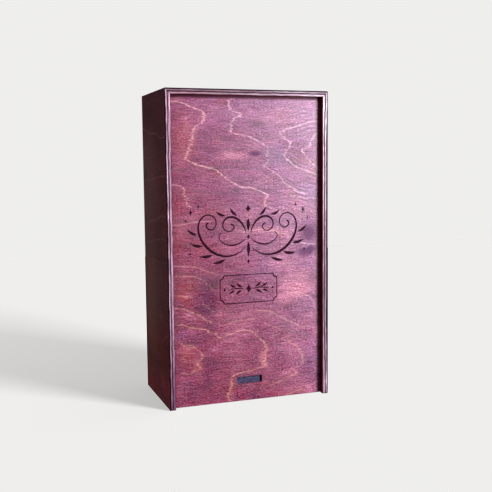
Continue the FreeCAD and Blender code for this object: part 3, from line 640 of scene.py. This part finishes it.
    # edges of the lid: three plies
    na, nb = net.num("ABSOLUTE", nx), net.num("ABSOLUTE", nz)
    bare = plies(net, depth / THIN_T, THREE_PLY, x, z, net.ramp(nb - na, -0.2, 0.2), 107.0)
    grain = net.noise(net.xyz(x / 18.0, z / 18.0, depth * 2.4), 3, 0.6)
    edge = net.vec("SCALE", net.mix(bare, DARK_PLY, LIGHT_PLY), 0.4 + grain)
    is_face = net.ramp(net.num("ABSOLUTE", ny), 0.55, 0.85)
    colour = net.mix(is_face, edge, face)
    colour = net.mix(cut, colour, charred)

    rough = 0.50 + streak * 0.16 + pore * 0.10 + cut * 0.3
    height = (dash * 0.6 + fine * 0.4 + streak * 0.3 - pore * 0.3) * (1.0 - cut) + soot * cut * 0.3
    return net.finish(colour, rough, height, 0.00022, spec=0.05, coat=net.clamp(1.0 - cut - dusky * 0.6 - lip_painted_shade * 0.8 - net.clamp(violet) * 0.3), gloss=0.28)


def brads():
    """Small steel heads, stained over with the wood."""
    net = Net("stained_brads")
    (x, y, z), n = net.coords()
    p = net.xyz(x / 0.9, y / 0.9, z / 0.9)
    spot = net.noise(p, 3, 0.6)
    colour = net.mix(net.ramp(spot, 0.35, 0.68), (0.075, 0.030, 0.050), (0.26, 0.19, 0.21))
    rough = 0.34 + spot * 0.3
    return net.finish(colour, rough, spot, 0.00005, metal=0.75)


for name, o in nodes.items():
    o.data.materials.clear()
for name in BOARD_FIGURE:
    nodes[name].data.materials.append(board(name))
nodes["sliding_lid"].data.materials.append(lid_face())
steel = brads()
for name in ("top_corner_pins", "bottom_corner_pins", "back_panel_pins"):
    nodes[name].data.materials.append(steel)


# ---------------------------------------------------------------- camera, floor and light

cam = bpy.data.objects.new("camera", bpy.data.cameras.new("camera"))
scene.collection.objects.link(cam)
cam.data.sensor_width, cam.data.lens = 36.0, 57.985
r = Vector((0.94178325, -0.33608922, -0.00939946))
u = Vector((0.04351994, 0.09413445, 0.99460782))
f = Vector((0.33339216, 0.93711405, -0.10328083))
cam.matrix_world = Matrix(((r.x, u.x, -f.x, -0.29893644), (r.y, u.y, -f.y, -0.88126621),
                           (r.z, u.z, -f.z, 0.26925184), (0, 0, 0, 1)))
cam.data.dof.use_dof = False
scene.camera = cam

# The floor has a notch in front of the lid, starting flush with the lid's back, so that the lid can be drawn out past
# the foot.
mesh = bpy.data.meshes.new("floor")
mesh.from_pydata([(-1.4, -0.9, 0), (-0.30, -0.9, 0), (-0.0916, -0.0449, 0), (0.0916, -0.0449, 0), (0.02, -0.9, 0),
                  (1.4, -0.9, 0), (1.4, 1.4, 0), (0.0916, 1.4, 0), (-0.0916, 1.4, 0), (-1.4, 1.4, 0)], [],
                 [(0, 1, 2, 8, 9), (2, 3, 7, 8), (4, 5, 6, 7, 3)])
floor = bpy.data.objects.new("floor", mesh)
scene.collection.objects.link(floor)
floor.is_shadow_catcher = True
fnet = Net("pale_floor")
fco, fno = fnet.coords()
speck = fnet.noise(fnet.xyz(fco[0] / 30.0, fco[1] / 30.0, 1.0), 3, 0.5)
mesh.materials.append(fnet.finish(fnet.mix(speck, (0.16, 0.095, 0.055), (0.19, 0.115, 0.07)), 0.8))

world = bpy.data.worlds.new("studio")
scene.world = world
world.use_nodes = True
wt = world.node_tree
wt.nodes.clear()
path = wt.nodes.new("ShaderNodeLightPath")
seen, lit = wt.nodes.new("ShaderNodeBackground"), wt.nodes.new("ShaderNodeBackground")
seen.inputs[0].default_value = (0.86, 0.855, 0.84, 1)
lit.inputs[0].default_value = (0.092, 0.072, 0.070, 1)
both, wout = wt.nodes.new("ShaderNodeMixShader"), wt.nodes.new("ShaderNodeOutputWorld")
wt.links.new(path.outputs["Is Camera Ray"], both.inputs[0])
wt.links.new(lit.outputs[0], both.inputs[1])
wt.links.new(seen.outputs[0], both.inputs[2])
wt.links.new(both.outputs[0], wout.inputs[0])


FACE = (0.0, -0.05, 0.19)


def around(azimuth, elevation, distance, target=FACE):
    """A place seen from target at that many degrees to the right of the front and above level."""
    az, el = math.radians(azimuth), math.radians(elevation)
    return (target[0] + distance * math.sin(az) * math.cos(el), target[1] - distance * math.cos(az) * math.cos(el),
            target[2] + distance * math.sin(el))


def softbox(name, place, target, size, watts, colour=(1, 1, 1)):
    data = bpy.data.lights.new(name, "AREA")
    data.shape, data.size, data.size_y = "RECTANGLE", size[0], size[1]
    data.energy, data.color = watts, colour
    o = bpy.data.objects.new(name, data)
    scene.collection.objects.link(o)
    o.location = place
    o.rotation_euler = (Vector(place) - Vector(target)).to_track_quat("Z", "Y").to_euler()
    return o


box_only, floor_only = bpy.data.collections.new("box_only"), bpy.data.collections.new("floor_only")
for o in nodes.values():
    box_only.objects.link(o)
floor_only.objects.link(floor)
softbox("key", around(39.5, 13, 1.5), FACE, (0.45, 1.1), 39.6, (1.0, 0.96, 1.0))
# the back and the top have softboxes of their own, which leave the floor's one shadow alone
softbox("rear", (1.0, 1.5, 1.1), (0.0, 0.0, 0.17), (1.2, 1.2), 19.0, (1.0, 0.98, 0.96)).light_linking.receiver_collection = box_only
softbox("overhead", (0.55, 0.25, 1.7), (0.0, 0.1, 0.0), (0.9, 0.9), 14.0).light_linking.receiver_collection = box_only
fill = softbox("floor_fill", (0.0, 0.2, 1.8), (0.0, 0.2, 0.0), (2.0, 2.0), 30.0)
fill.light_linking.receiver_collection = floor_only
fill.data.use_shadow = False

scene.view_settings.view_transform = "Standard"
scene.view_settings.look = "None"
